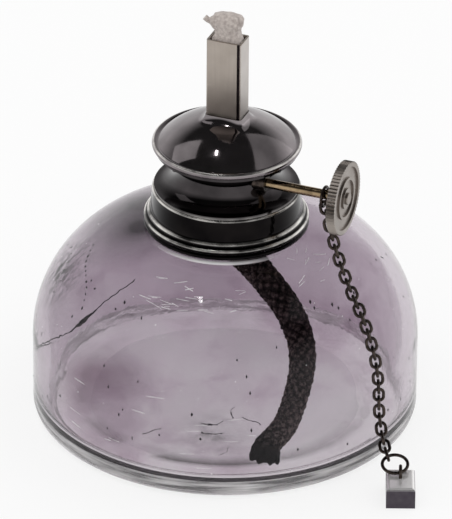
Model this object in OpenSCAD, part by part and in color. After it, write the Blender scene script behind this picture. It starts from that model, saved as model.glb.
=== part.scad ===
// Spirit lamp: a round glass font, a screw-on burner with a flat wick and its raiser,
// and a snuffer cap on a chain that hangs from the raiser's shaft.
// Millimetres. Origin at the centre of the base, on the table. +Z is up, and the raiser's
// shaft points along +X.

/* [Glass font] */
// Outer diameter of the glass body
body_d = 95; // [88:0.5:104]
// Height of the glass body, up to its flat top
body_h = 50.8; // [48:0.2:56]
// Radius of the rounded shoulder
shoulder_r = 31; // [27:0.5:33]
// Thickness of the glass wall
glass_wall = 3.7; // [2.8:0.1:4.6]
// Thickness of the glass floor
glass_floor = 4; // [3:0.1:6]
// Rounding of the foot's edge
foot_r = 3; // [1.5:0.1:4]
// Rounding inside, between the wall and the floor
heel_r = 2.5; // [1.5:0.1:4]
// Diameter of the neck under its thread
neck_d = 26; // [25.4:0.1:27]
// Diameter of the neck's bore
neck_bore_d = 23; // [21:0.1:23.6]
// Height of the neck above the body
neck_h = 8.2; // [7.6:0.1:9.4]

/* [Screw thread] */
// Rise of the thread in one turn
thread_pitch = 3; // [2.6:0.1:3.4]
// Turns of thread on the neck
thread_turns = 1.5; // [1:0.25:1.75]
// How far a thread ridge stands out
thread_depth = 1.2; // [0.9:0.05:1.4]
// Thickness of a thread ridge
thread_ridge = 1; // [0.8:0.05:1.2]

/* [Burner] */
// Diameter of the collar's skirt
collar_d = 40.6; // [39:0.1:44]
// Diameter of the collar's band
band_d = 37.6; // [36.6:0.1:38.4]
// Diameter of the two beads' wire above the skirt
bead_d = 1.7; // [1.2:0.1:2]
// Diameter of the spool's waist
waist_d = 24.6; // [24:0.1:26]
// Height of the spool
spool_h = 11.1; // [10.4:0.1:12.4]
// Diameter over the dome's rolled rim
dome_d = 36.7; // [36:0.1:40]
// Height of the dome above its seat
dome_h = 8.2; // [7:0.1:10]
// Thickness of the spun sheet
sheet = 0.7; // [0.5:0.05:0.9]

/* [Wick] */
// Width of the wick tube, along the shaft
tube_w = 9; // [8.4:0.1:10]
// Depth of the wick tube, across the shaft
tube_d = 6; // [5.6:0.1:6.2]
// Thickness of the tube's sheet
tube_wall = 0.5; // [0.4:0.05:0.6]
// Height of the tube above the dome
tube_stand = 21.5; // [16:0.5:28]
// Height of the tuft above the tube
tuft_h = 7; // [5:0.5:10]
// Diameter of the wick's tail in the font
tail_d = 7.2; // [6:0.2:7.6]

/* [Raiser] */
// Diameter of the raiser's shaft
shaft_d = 2.4; // [2:0.1:2.6]
// Distance from the lamp's axis to the thumbwheel's face
knob_reach = 33.5; // [31:0.5:38]
// Diameter of the thumbwheel
knob_d = 18.4; // [16:0.2:20]
// Thickness of the thumbwheel
knob_t = 2.2; // [1.8:0.1:3]
// Number of knurls round the thumbwheel
knurls = 64; // [40:1:72]
// Number of teeth on a spur wheel
spur_teeth = 12; // [8:1:16]
// Thickness of a spur wheel
spur_t = 0.8; // [0.6:0.05:1]
// Distance between the two spur wheels
spur_gap = 4; // [3:0.1:4.6]

/* [Chain and cap] */
// Diameter of the wire in the chain, ring and eye
wire_d = 0.8; // [0.7:0.05:0.9]
// Width over one link
link_w = 3.1; // [2.9:0.05:3.4]
// Extra angle by which the slack chain meets the glass
chain_sag = 11; // [8:0.5:14]
// Angle from upright at which the chain's end reaches out
reach_angle = 66; // [50:1:70]
// Diameter over the jump ring
ring_d = 7; // [6.6:0.1:8]
// Slope of the jump ring
ring_tilt = 15; // [8:1:18]
// Height of the snuffer cap
cap_h = 5.3; // [5:0.1:7]
// Thickness of the snuffer cap's sheet
cap_wall = 0.4; // [0.3:0.05:0.6]

/* [Clearances] */
// Gap at a seat between two pieces
seat_gap = 0.1; // [0.05:0.01:0.15]
// Radial gap round a fixed piece in its hole
fixed_gap = 0.03; // [0.02:0.01:0.05]
// Radial gap round the turning shaft
run_gap = 0.05; // [0.03:0.01:0.08]
// Radial gap between thread ridges and walls
thread_gap = 0.3; // [0.25:0.01:0.35]
// Gap round the wick in its tube
wick_gap = 0.2; // [0.15:0.01:0.3]
// Least play between two links
link_play = 0.15; // [0.12:0.01:0.2]
// Gap between the chain and the glass
chain_gap = 0.22; // [0.18:0.01:0.4]
// Gap round the tube in the snuffer cap
cap_gap = 0.15; // [0.1:0.01:0.3]

/* [Hidden] */
$fn = 96;
// How far a cutting shape runs past what it cuts
past = 1;

// Colours
glass_colour = [0.82, 0.79, 0.84, 0.45];
nickel_dark = [0.16, 0.14, 0.15];
nickel_warm = [0.66, 0.63, 0.59];
brass_worn = [0.7, 0.58, 0.38];
steel_dark = [0.2, 0.17, 0.16];
steel_bright = [0.78, 0.78, 0.8];
cotton_pale = [0.74, 0.73, 0.74];
cotton_dark = [0.24, 0.22, 0.22];
cork_brown = [0.5, 0.38, 0.26];

// Glass levels and radii
body_r = body_d / 2;
inside_r = body_r - glass_wall;
shoulder_c = [body_r - shoulder_r, body_h - shoulder_r];
neck_r = neck_d / 2;
neck_bore_r = neck_bore_d / 2;
lip_z = body_h + neck_h;
lip_r = 0.7;

// Thread: the collar's ridge runs half a pitch above the neck's
ridge_r = neck_r + thread_depth;
collar_bore_r = ridge_r + thread_gap;
collar_ridge_r = neck_r + thread_gap;
ridge_sink = 0.4;
ridge_taper = 0.2;
ridge_steps = 24;
ridge_mid_z = body_h + neck_h / 2;

// Collar and gasket
gasket_t = 1;
gasket_z = lip_z + seat_gap;
roof_z = gasket_z + gasket_t + seat_gap;
roof_t = 0.9;
roof_ledge = 0.3;
roof_hole_r = neck_bore_r - roof_ledge;
skirt_gap = 0.3;
skirt_h = 1.4;
collar_z = body_h + skirt_gap;
collar_r = collar_d / 2;
band_r = band_d / 2;
bead_r = bead_d / 2;
bead_step = 1.4;
bead_sink = 0.25;
edge_bead_r = 0.5;

// Spool: a round groove of sheet between two flanges
spool_z = roof_z + roof_t;
groove_r = spool_h / 2 - sheet;
groove_c = [waist_d / 2 + groove_r, spool_z + spool_h / 2];
spool_foot_r = band_r - 2 * edge_bead_r;
spool_brim = 0.4;
spool_brim_r = groove_c[0] + spool_brim;

// Dome: part of a sphere on a rolled rim
dome_z = spool_z + spool_h;
rim_r = 0.85;
rim_c = [dome_d / 2 - rim_r, dome_z + rim_r + seat_gap / 2];
dome_rise = dome_h - (rim_c[1] - dome_z);
dome_r = (rim_c[0] * rim_c[0] + dome_rise * dome_rise) / (2 * dome_rise);
dome_top = dome_z + dome_h;
flare_h = 0.9;
flare_land = 0.5;
flare_r = norm([tube_w, tube_d]) / 2 + flare_land;
dome_lap = 2;

// Tube and its plate
plate_t = 0.9;
plate_side_gap = 0.5;
plate_r = waist_d / 2 - plate_side_gap;
plate_z = spool_z;
vent_d = 2;
vent_y = 8;
tube_top = dome_top + tube_stand;
tube_below = 4;
tube_bottom = spool_z - tube_below;
tube_corner = 0.5;
bore_w = tube_w - 2 * tube_wall;
bore_d = tube_d - 2 * tube_wall;

// Wick
wick_w = bore_w - 2 * wick_gap;
wick_d = bore_d - 2 * wick_gap;
wick_below = 1;
wick_bottom = tube_bottom - wick_below;
strand_r = wick_d / 4;
// Each strand of the tuft: its place across the wick and how far it stops short, as shares, and its lean
tuft_strands = [
    [[-0.55, -0.35], 0.3, [5, -9]],
    [[-0.28, 0.35], 0.1, [-5, -5]],
    [[0, -0.35], 0, [5, 4]],
    [[0.3, 0.35], 0.2, [-5, 7]],
    [[0.55, -0.35], 0.25, [5, 9]]
];

// The tail's route from the tube to the floor, as shares of the font's inner radius and of its height there
tail_gap = 0.2;
tail_sides = 12;
tail_shares = [
    [0, 0, 1],
    [0, 0, 0.93],
    [0.015, 0, 0.86],
    [0.06, 0, 0.78],
    [0.14, 0, 0.71],
    [0.26, -0.04, 0.64],
    [0.4, -0.11, 0.56],
    [0.52, -0.21, 0.46],
    [0.58, -0.33, 0.37],
    [0.59, -0.45, 0.27],
    [0.57, -0.57, 0.17],
    [0.51, -0.67, 0.1],
    [0.5, -0.7, 0.035]
];
tail_h = wick_bottom - tail_gap - glass_floor;
tail_route = [for (p = tail_shares) [p[0] * inside_r, p[1] * inside_r, glass_floor + p[2] * tail_h]];

// Raiser
shaft_r = shaft_d / 2;
spur_r_tip = 3.4;
spur_tooth = 0.8;
shaft_y = -(wick_d / 2 + seat_gap + spur_r_tip);
shaft_rise = 6.2;
shaft_z = spool_z + shaft_rise;
slot_side_gap = 0.4;
slot_end_gap = 0.35;
knob_back = knob_reach - knob_t;
bearing_gap = 0.6;
bearing_x = -(tube_w / 2 + bearing_gap);
bearing_t = 1.8;
bearing_r = 1.9;
clip_gap = 0.2;
clip_t = 0.6;
clip_r = 2;
shaft_tip = 0.4;
shaft_start = bearing_x - bearing_t - clip_gap - clip_t - shaft_tip;
bush_wall = 0.9;
bush_r = shaft_r + bush_wall;
bush_proud = 1.8;
waist_x = sqrt(pow(waist_d / 2, 2) - shaft_y * shaft_y);
bush_inside = 1.2;
bush_start = waist_x - sheet - bush_inside;
bush_len = waist_x + bush_proud - bush_start;
knurl_depth = 0.35;
knob_dish = 0.45;
knob_rim = 1.3;
knob_groove = 0.7;
knob_boss_r = 2.6;
knob_ring_r = knob_d / 4;
rivet_r = 1.5;
rivet_h = 0.6;

// Chain: it leaves the loop, meets the shoulder, follows it to the wall and reaches out to the ring
wire_r = wire_d / 2;
link_bend_r = (link_w - wire_d) / 2;
loop_back = 3.6;
loop_play = 0.8;
loop_bore_r = shaft_r + loop_play;
loop_hang = 0.2;
loop_x = knob_back - loop_back;
loop_z = shaft_z - (loop_play - loop_hang);
loop_wire_r = loop_bore_r + wire_r;
hook = (wire_d + link_play) / 2;
chain_start = [loop_x, shaft_y, loop_z - loop_wire_r + hook];
chain_az = -29;
reach_az = -52;
cap_az = -69;
chain_off = (link_w + wire_d) / 2 * sin(45) + chain_gap;

// Ring and eye: angles round the ring are counted from its lowest point
ring_r = (ring_d - wire_d) / 2;
ring_chain_angle = -140;
ring_eye_angle = 25;
ring_lift = 0.4;
eye_r = 1.35;
eye_clear = 0.25;
eye_set = 1.8;
table_gap = 0.05;
ring_eye_z = cap_h + table_gap + wire_r + ring_lift;

function ring_dir(turn) =
    [
        cos(turn) * cos(ring_tilt) * cos(cap_az) - sin(turn) * sin(cap_az),
        cos(turn) * cos(ring_tilt) * sin(cap_az) + sin(turn) * cos(cap_az),
        -cos(turn) * sin(ring_tilt)
    ];

chain_end_z = ring_eye_z - ring_r * ring_dir(ring_eye_angle)[2]
    + (ring_r - hook) * ring_dir(ring_chain_angle)[2];

loop_out = norm([loop_x, shaft_y]);
loop_az = atan2(shaft_y, loop_x);
chain_along = loop_out * cos(chain_az - loop_az);
chain_across = loop_out * sin(chain_az - loop_az);
drape_r = shoulder_r + chain_off;
drape_u = sqrt(pow(body_r + chain_off, 2) - pow(chain_across, 2)) - chain_along - drape_r;
drape_z = shoulder_c[1];
drop = chain_start[2] - drape_z;
touch_angle = atan2(drop, -drape_u) - acos(drape_r / norm([drape_u, drop])) + chain_sag;
touch_u = drape_u + drape_r * cos(touch_angle);
touch_drop = drop - drape_r * sin(touch_angle);
chord_angle = atan2(touch_u, touch_drop);
sag_half = touch_angle - chord_angle;
span_len = norm([touch_u, touch_drop]) * sag_half * PI / 180 / sin(sag_half);
drape_len = drape_r * touch_angle * PI / 180;
reach_len = (drape_z - chain_end_z) * reach_angle * PI / 180 / sin(reach_angle);
route_len = span_len + drape_len + reach_len;

// An even number of links, so that the first and the last are crossed by loop and ring. They fit the route.
chain_links = 30;
link_pitch = route_len / chain_links;
link_len = link_pitch + link_play + 2 * wire_d;
link_straight = link_len - link_w;

function chain_angle(s) =
    s < span_len ? chord_angle + sag_half * (2 * s / span_len - 1)
    : s < span_len + drape_len ? touch_angle * (1 - (s - span_len) / drape_len)
    : reach_angle * (s - span_len - drape_len) / reach_len;

function chain_turn(s) = s < span_len + drape_len ? chain_az : reach_az;

function link_s(i) = (i - 0.5) * link_pitch;

function link_dir(i) =
    let (tilt = chain_angle(link_s(i)), turn = chain_turn(link_s(i)))
    [sin(tilt) * cos(turn), sin(tilt) * sin(turn), -cos(tilt)];

// Points where the chain's pieces hook into each other, from the loop to the ring
hooks = [
    for (i = 1, p = chain_start; i <= chain_links + 1; p = p + link_pitch * link_dir(i), i = i + 1) p
];

ring_c = hooks[chain_links] - (ring_r - hook) * ring_dir(ring_chain_angle);
ring_eye = ring_c + ring_r * ring_dir(ring_eye_angle);
cap_c = [ring_eye[0] + eye_set * cos(cap_az), ring_eye[1] + eye_set * sin(cap_az), table_gap];

// Snuffer cap: it fits over the tube
cap_in_l = tube_w + 2 * cap_gap;
cap_in_w = tube_d + 2 * cap_gap;
cap_l = cap_in_l + 2 * cap_wall;
cap_w = cap_in_w + 2 * cap_wall;
cap_round = 0.9;

function link_name(i) = str("chain_link_", i < 10 ? "0" : "", i);

// Quarter of a disc, up and outwards from its centre
module quarter(c, r) {
    translate(c) intersection() {
        circle(r = r);
        square(r);
    }
}

// Rectangle with round corners, centred
module round_rect(w, d, r) {
    square([w - 2 * r, d], center = true);
    square([w, d - 2 * r], center = true);
    for (x = [-1, 1], y = [-1, 1]) {
        translate([x * (w / 2 - r), y * (d / 2 - r)]) circle(r = r, $fn = 24);
    }
}

// Ring of round wire in the XY plane
module wire_ring(ring) {
    rotate_extrude() translate([ring, 0]) circle(r = wire_r, $fn = 24);
}

// Half of such a ring, on the side of +Y
module wire_bow(bow) {
    rotate_extrude(angle = 180) translate([bow, 0]) circle(r = wire_r, $fn = 24);
}

// Cylinder along +X, from a point on the shaft's line
module on_shaft(x, r, len) {
    translate([x, shaft_y, shaft_z]) rotate([0, 90, 0]) cylinder(r = r, h = len);
}

// Section of a ridge that climbs round the Z axis, from its root to its tip
function ridge_ring(turn, z, root_r, tip_r) =
    let (
        way = tip_r > root_r ? 1 : -1,
        root = way * (thread_ridge + ridge_taper) / 2,
        tip = way * (thread_ridge - ridge_taper) / 2
    )
    [
        [root_r * cos(turn), root_r * sin(turn), z - root],
        [tip_r * cos(turn), tip_r * sin(turn), z - tip],
        [tip_r * cos(turn), tip_r * sin(turn), z + tip],
        [root_r * cos(turn), root_r * sin(turn), z + root]
    ];

// Triangles of a tube of rings, with both ends closed
function tube_faces(rings, sides) = concat(
    [for (i = [1:sides - 2]) [0, i + 1, i]],
    [
        for (k = [0:rings - 2], i = [0:sides - 1], half = [0, 1])
            let (a = k * sides + i, b = k * sides + (i + 1) % sides)
            half == 0 ? [a, b, b + sides] : [a, b + sides, a + sides]
    ],
    [for (i = [1:sides - 2]) let (e = (rings - 1) * sides) [e, e + i, e + i + 1]]
);

module screw_ridge(root_r, tip_r, mid_z) {
    steps = ceil(thread_turns * ridge_steps);
    rings = [
        for (k = [0:steps])
            let (turn = (k / steps - 0.5) * thread_turns * 360)
            ridge_ring(turn, mid_z + turn / 360 * thread_pitch, root_r, tip_r)
    ];
    polyhedron(points = [for (ring = rings, p = ring) p], faces = tube_faces(steps + 1, 4));
}

module glass_outline() {
    square([neck_r, lip_z - lip_r]);
    square([neck_r - lip_r, lip_z]);
    translate([neck_r - lip_r, lip_z - lip_r]) circle(r = lip_r);
    square([shoulder_c[0], body_h]);
    quarter(shoulder_c, shoulder_r);
    translate([0, foot_r]) square([body_r, shoulder_c[1] - foot_r]);
    square([body_r - foot_r, shoulder_c[1]]);
    translate([body_r - foot_r, foot_r]) circle(r = foot_r);
}

module glass_hollow() {
    translate([0, glass_floor]) square([neck_bore_r, lip_z]);
    translate([0, glass_floor]) square([shoulder_c[0], body_h - glass_wall - glass_floor]);
    quarter(shoulder_c, shoulder_r - glass_wall);
    translate([0, glass_floor + heel_r]) square([inside_r, shoulder_c[1] - glass_floor - heel_r]);
    translate([0, glass_floor]) square([inside_r - heel_r, shoulder_c[1] - glass_floor]);
    translate([inside_r - heel_r, glass_floor + heel_r]) circle(r = heel_r);
}

module glass_font() {
    color(glass_colour) {
        rotate_extrude() difference() {
            glass_outline();
            glass_hollow();
        }
        screw_ridge(neck_r - ridge_sink, ridge_r, ridge_mid_z);
    }
}

module collar_gasket() {
    color(cork_brown) translate([0, 0, gasket_z]) difference() {
        cylinder(r = collar_ridge_r - seat_gap, h = gasket_t);
        translate([0, 0, -past]) cylinder(r = neck_bore_r, h = gasket_t + 2 * past);
    }
}

module collar_outline() {
    top_z = roof_z + roof_t;
    bead_z = collar_z + skirt_h + bead_r - bead_sink;
    translate([0, collar_z]) square([collar_r, skirt_h]);
    polygon([
        [0, collar_z],
        [collar_r - bead_d, collar_z],
        [band_r, bead_z + bead_step],
        [band_r - edge_bead_r, top_z - edge_bead_r],
        [band_r - 2 * edge_bead_r, top_z],
        [0, top_z]
    ]);
    translate([collar_r - bead_r, bead_z]) circle(r = bead_r, $fn = 32);
    translate([collar_r - bead_d, bead_z + bead_step]) circle(r = bead_r, $fn = 32);
    translate([band_r - 2 * edge_bead_r, top_z - edge_bead_r]) circle(r = edge_bead_r, $fn = 32);
}

module screw_collar() {
    color(nickel_dark) {
        rotate_extrude() difference() {
            collar_outline();
            square([collar_bore_r, roof_z]);
            square([roof_hole_r, dome_top]);
        }
        screw_ridge(collar_bore_r + ridge_sink, collar_ridge_r, ridge_mid_z + thread_pitch / 2);
    }
}

module burner_spool() {
    color(nickel_dark) difference() {
        rotate_extrude() {
            intersection() {
                difference() {
                    translate(groove_c) circle(r = groove_r + sheet);
                    translate(groove_c) circle(r = groove_r);
                }
                square([groove_c[0], dome_top]);
            }
            translate([groove_c[0], spool_z]) square([spool_foot_r - groove_c[0], sheet]);
            translate([groove_c[0], dome_z - sheet]) square([spool_brim_r - groove_c[0], sheet]);
        }
        on_shaft(bush_start, bush_r + fixed_gap, bush_len);
    }
}

module dome_outline() {
    sphere_c = [0, rim_c[1] + dome_rise - dome_r];
    translate(rim_c) circle(r = rim_r, $fn = 32);
    translate([groove_c[0] - dome_lap, dome_z]) square([rim_c[0] - groove_c[0] + dome_lap, sheet]);
    intersection() {
        difference() {
            translate(sphere_c) circle(r = dome_r);
            translate(sphere_c) circle(r = dome_r - sheet);
        }
        translate([0, rim_c[1]]) square([rim_c[0], dome_h]);
    }
    polygon([
        [0, dome_top - 2 * sheet],
        [flare_r + 2 * sheet, dome_top - 2 * sheet],
        [flare_r, dome_top + flare_h - sheet],
        [0, dome_top + flare_h - sheet]
    ]);
}

module burner_dome() {
    color(nickel_dark) difference() {
        rotate_extrude() dome_outline();
        translate([0, 0, dome_z]) linear_extrude(tube_stand) {
            round_rect(tube_w + 2 * fixed_gap, tube_d + 2 * fixed_gap, tube_corner + fixed_gap);
        }
    }
}

module tube_plate() {
    color(brass_worn) translate([0, 0, plate_z]) difference() {
        cylinder(r = plate_r, h = plate_t);
        translate([0, 0, -past]) linear_extrude(plate_t + 2 * past) {
            round_rect(tube_w + 2 * fixed_gap, tube_d + 2 * fixed_gap, tube_corner + fixed_gap);
        }
        translate([0, vent_y, -past]) cylinder(d = vent_d, h = plate_t + 2 * past);
    }
}

module wick_tube() {
    slot_half = sqrt(pow(spur_r_tip, 2) - pow(-shaft_y - tube_d / 2, 2)) + slot_end_gap;
    slot_w = spur_t + 2 * slot_side_gap;
    color(nickel_warm) difference() {
        translate([0, 0, tube_bottom]) linear_extrude(tube_top - tube_bottom) difference() {
            round_rect(tube_w, tube_d, tube_corner);
            square([bore_w, bore_d], center = true);
        }
        for (side = [-1, 1]) {
            translate([side * spur_gap / 2 - slot_w / 2, -tube_d / 2 - past, shaft_z - slot_half]) {
                cube([slot_w, tube_wall + 2 * past, 2 * slot_half]);
            }
        }
    }
}

module shaft_bush() {
    color(brass_worn) difference() {
        on_shaft(bush_start, bush_r, bush_len);
        on_shaft(bush_start - past, shaft_r + run_gap, bush_len + 2 * past);
    }
}

module shaft_bearing() {
    foot_z = plate_z + plate_t;
    color(brass_worn) difference() {
        union() {
            on_shaft(bearing_x - bearing_t, bearing_r, bearing_t);
            translate([bearing_x - bearing_t, shaft_y - bearing_r, foot_z]) {
                cube([bearing_t, 2 * bearing_r, shaft_z - foot_z]);
            }
        }
        on_shaft(bearing_x - bearing_t - past, shaft_r + run_gap, bearing_t + 2 * past);
    }
}

module raiser_shaft() {
    color(brass_worn) on_shaft(shaft_start, shaft_r, knob_reach - shaft_start);
}

module spur_wheels() {
    color(brass_worn) for (side = [-1, 1]) {
        difference() {
            translate([side * spur_gap / 2 - spur_t / 2, shaft_y, shaft_z]) rotate([90, 0, 90]) {
                linear_extrude(spur_t) polygon([
                    for (k = [0:2 * spur_teeth - 1])
                        let (r = spur_r_tip - (k % 2) * spur_tooth, turn = k * 180 / spur_teeth)
                        [r * cos(turn), r * sin(turn)]
                ]);
            }
            on_shaft(side * spur_gap / 2 - spur_t, shaft_r + fixed_gap, 2 * spur_t);
        }
    }
}

module shaft_clip() {
    clip_x = bearing_x - bearing_t - clip_gap - clip_t;
    color(steel_bright) difference() {
        on_shaft(clip_x, clip_r, clip_t);
        on_shaft(clip_x - past, shaft_r + fixed_gap, clip_t + 2 * past);
    }
}

module thumbwheel() {
    face_r = knob_d / 2 - knob_rim;
    color(nickel_warm) difference() {
        translate([knob_back, shaft_y, shaft_z]) rotate([90, 0, 90]) linear_extrude(knob_t) polygon([
            for (k = [0:2 * knurls - 1])
                let (r = knob_d / 2 - (k % 2) * knurl_depth, turn = k * 180 / knurls)
                [r * cos(turn), r * sin(turn)]
        ]);
        difference() {
            on_shaft(knob_reach - knob_dish, face_r, knob_t);
            on_shaft(knob_back, knob_boss_r, 2 * knob_t);
            difference() {
                on_shaft(knob_back, knob_ring_r + knob_groove, 2 * knob_t);
                on_shaft(knob_back, knob_ring_r, 2 * knob_t);
            }
        }
        on_shaft(knob_back - past, shaft_r + fixed_gap, knob_t + 2 * past);
    }
}

module thumbwheel_rivet() {
    color(nickel_warm) {
        on_shaft(knob_reach, rivet_r, rivet_h / 2);
        on_shaft(knob_reach + rivet_h / 2, rivet_r - rivet_h / 2, rivet_h / 2);
        translate([knob_reach + rivet_h / 2, shaft_y, shaft_z]) rotate([0, 90, 0]) rotate_extrude() {
            quarter([rivet_r - rivet_h / 2, 0], rivet_h / 2);
        }
    }
}

module wick() {
    color(cotton_pale) {
        translate([0, 0, wick_bottom]) linear_extrude(tube_top - wick_bottom) {
            round_rect(wick_w, wick_d, tube_corner);
        }
        intersection() {
            for (strand = tuft_strands) {
                place = [strand[0][0] * wick_w / 2, strand[0][1] * wick_d / 2];
                tall = tuft_h * (1 - strand[1]) - strand_r;
                translate([place[0], place[1], tube_top - strand_r]) rotate(strand[2]) {
                    cylinder(r = strand_r, h = tall + strand_r, $fn = 32);
                    translate([0, 0, tall + strand_r]) sphere(r = strand_r, $fn = 32);
                }
            }
            translate([-tube_w, -tube_d, wick_bottom]) cube([2 * tube_w, 2 * tube_d, tube_top]);
        }
    }
}

// Ring of points round a route's point, square to the way the route runs there
function route_way(route, k) =
    let (way = route[min(k + 1, len(route) - 1)] - route[max(k - 1, 0)])
    way / norm(way);

function route_ring(route, k, r, sides) =
    let (
        way = route_way(route, k),
        side = cross(way, [0, 1, 0]) / norm(cross(way, [0, 1, 0])),
        up = cross(way, side)
    )
    [for (i = [0:sides - 1]) route[k] + r * (cos(i * 360 / sides) * side + sin(i * 360 / sides) * up)];

module wick_tail() {
    points = [for (k = [0:len(tail_route) - 1], p = route_ring(tail_route, k, tail_d / 2, tail_sides)) p];
    color(cotton_dark) polyhedron(points = points, faces = tube_faces(len(tail_route), tail_sides));
}

module chain_loop() {
    color(steel_dark) translate([loop_x, shaft_y, loop_z]) rotate([0, 90, 0]) wire_ring(loop_wire_r);
}

// One oval link, its length along Z and its face towards Y
module oval_link() {
    for (end = [0, 180]) {
        rotate([0, end, 0]) {
            translate([0, 0, link_straight / 2]) rotate([90, 0, 0]) wire_bow(link_bend_r);
            translate([link_bend_r, 0, -link_straight / 2]) {
                cylinder(r = wire_r, h = link_straight, $fn = 24);
            }
        }
    }
}

// Every second link faces the same way as the cap's end, and the others are crosswise
module chain_link(i) {
    turn = chain_turn(link_s(i));
    color(steel_dark) translate((hooks[i - 1] + hooks[i]) / 2) {
        rotate([0, -chain_angle(link_s(i)), turn]) {
            rotate([0, 0, cap_az - turn - 90 * (i % 2)]) oval_link();
        }
    }
}

module jump_ring() {
    color(steel_dark) translate(ring_c) rotate([0, ring_tilt, cap_az]) wire_ring(ring_r);
}

module on_cap() {
    translate(cap_c) rotate([0, 0, cap_az]) children();
}

// Outline of a block with round upper edges, to be drawn along the block
module loaf(w, h, r) {
    translate([-w / 2, 0]) square([w, h - r]);
    translate([-w / 2 + r, 0]) square([w - 2 * r, h]);
    for (side = [-1, 1]) {
        translate([side * (w / 2 - r), h - r]) circle(r = r, $fn = 32);
    }
}

module snuffer_cap() {
    color(steel_bright) on_cap() difference() {
        intersection() {
            translate([-cap_l / 2, 0, 0]) rotate([90, 0, 90]) linear_extrude(cap_l) {
                loaf(cap_w, cap_h, cap_round);
            }
            translate([0, cap_w / 2, 0]) rotate([90, 0, 0]) linear_extrude(cap_w) {
                loaf(cap_l, cap_h, cap_round);
            }
        }
        translate([-cap_in_l / 2, -cap_in_w / 2, -past]) {
            cube([cap_in_l, cap_in_w, cap_h - cap_wall + past]);
        }
    }
}

module cap_eye() {
    leg = ring_eye_z - cap_h - table_gap + eye_clear;
    color(steel_dark) on_cap() translate([-eye_set, 0, cap_h]) {
        translate([0, 0, leg]) rotate([90, 0, 0]) wire_bow(eye_r);
        for (side = [-1, 1]) {
            translate([side * eye_r, 0, 0]) cylinder(r = wire_r, h = leg, $fn = 24);
        }
    }
}

glass_font();
collar_gasket();
screw_collar();
burner_spool();
burner_dome();
tube_plate();
wick_tube();
shaft_bush();
shaft_bearing();
raiser_shaft();
spur_wheels();
shaft_clip();
thumbwheel();
thumbwheel_rivet();
wick();
wick_tail();
chain_loop();
for (i = [1:chain_links]) {
    chain_link(i);
}
jump_ring();
snuffer_cap();
cap_eye();
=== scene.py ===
"""Looks of a bench spirit lamp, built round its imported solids.

Metres, +Z up, with the origin at the centre of the base. The raiser's shaft points along +X.
"""
import math
import random

import bmesh
import bpy
import numpy as np
from mathutils import Matrix, Vector, noise


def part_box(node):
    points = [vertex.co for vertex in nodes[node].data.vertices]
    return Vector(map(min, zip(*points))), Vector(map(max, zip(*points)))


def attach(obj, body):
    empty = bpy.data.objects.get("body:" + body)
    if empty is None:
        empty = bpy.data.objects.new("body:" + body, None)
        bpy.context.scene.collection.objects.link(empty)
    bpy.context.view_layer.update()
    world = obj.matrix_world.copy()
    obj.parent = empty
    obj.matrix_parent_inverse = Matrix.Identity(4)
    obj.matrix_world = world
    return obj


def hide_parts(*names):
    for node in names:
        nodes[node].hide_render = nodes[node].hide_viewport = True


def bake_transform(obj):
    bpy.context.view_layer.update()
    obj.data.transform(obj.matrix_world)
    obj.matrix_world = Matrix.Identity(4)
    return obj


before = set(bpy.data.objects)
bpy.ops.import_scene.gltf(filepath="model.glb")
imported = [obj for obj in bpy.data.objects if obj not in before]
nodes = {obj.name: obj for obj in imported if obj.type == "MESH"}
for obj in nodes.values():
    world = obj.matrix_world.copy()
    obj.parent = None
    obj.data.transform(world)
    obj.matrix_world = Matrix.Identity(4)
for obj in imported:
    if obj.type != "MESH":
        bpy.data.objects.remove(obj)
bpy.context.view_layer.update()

MM = 0.001
SEGMENTS = 192
# Corners steeper than this stay sharp, on plain pieces and on soft or thin ones, in degrees
SHARP_ANGLE = 35
SOFT_ANGLE = 80
# Places nearer than this are one
TINY = 1e-6

# Camera: the frame in pixels, and how it looks at the lamp
FRAME_W = 452
FRAME_H = 519
CAMERA_AZIMUTH = 21.0
CAMERA_ELEVATION = 29.5
CAMERA_ROLL = 0.5
CAMERA_DISTANCE = 2.0
PIXELS_PER_MM = 4.03
BASE_PIXEL = (226.0, 400.6)

# Light from all round, and how mirrors see the ceiling fade: height from and to, strength from and to
WORLD_LIGHT = 0.85
CEILING = (0.30, 0.66, 1.0, 0.04)
# The floor: half its width in metres, its depth below the lamp, its grey, and the share seen as white
FLOOR_HALF = 3.0
FLOOR_DROP = 0.05 * MM
FLOOR_GREY = 0.93
FLOOR_WHITE = 0.8
# Soft boxes that face one height: name, angles in degrees, distance and size in metres, power in watts
LAMP_AIM = 50 * MM
LAMPS = [
    ("overhead", -160, 80, 1.0, (0.09, 0.03), 0.4),
    ("left_box", 178, 48, 1.1, (0.45, 0.5), 0.5),
    ("right_box", 40, 40, 1.1, (1.0, 1.0), 1.2),
]

# Glass
BODY_R = 47.5 * MM
BODY_H = 50.8 * MM
SHOULDER_R = 31 * MM
SHOULDER_C = (BODY_R - SHOULDER_R, BODY_H - SHOULDER_R)
GLASS_WALL = 3.7 * MM
GLASS_FLOOR = 4 * MM
FOOT_R = 3 * MM
HEEL_R = 2.5 * MM
BASE_STEPS = 12
# The ring that it stands on, as steps of the base, and the scuffed outside of the foot with its ribs
FOOT_STEPS = 3
FOOT_TOP = 5.05 * MM
FOOT_RIB = 0.1 * MM
FOOT_RIB_PITCH = 1.4 * MM
# The painted shade line in the inner corner, by its heights, on the side where y is below a limit
HEEL_SHADE_LINE = (4.05 * MM, 4.3 * MM)
HEEL_SHADE_SIDE = -10 * MM
NECK_R = 13 * MM
NECK_BORE_R = 11.5 * MM
LIP_Z = 59 * MM
LIP_R = 0.7 * MM
# The neck's thread, which runs out over that many degrees at its ends
THREAD_PITCH = 3 * MM
THREAD_DEPTH = 1.2 * MM
THREAD_HALF = 0.75 * MM
THREAD_TURNS = 1.5
THREAD_RUNOUT = 20
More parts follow.
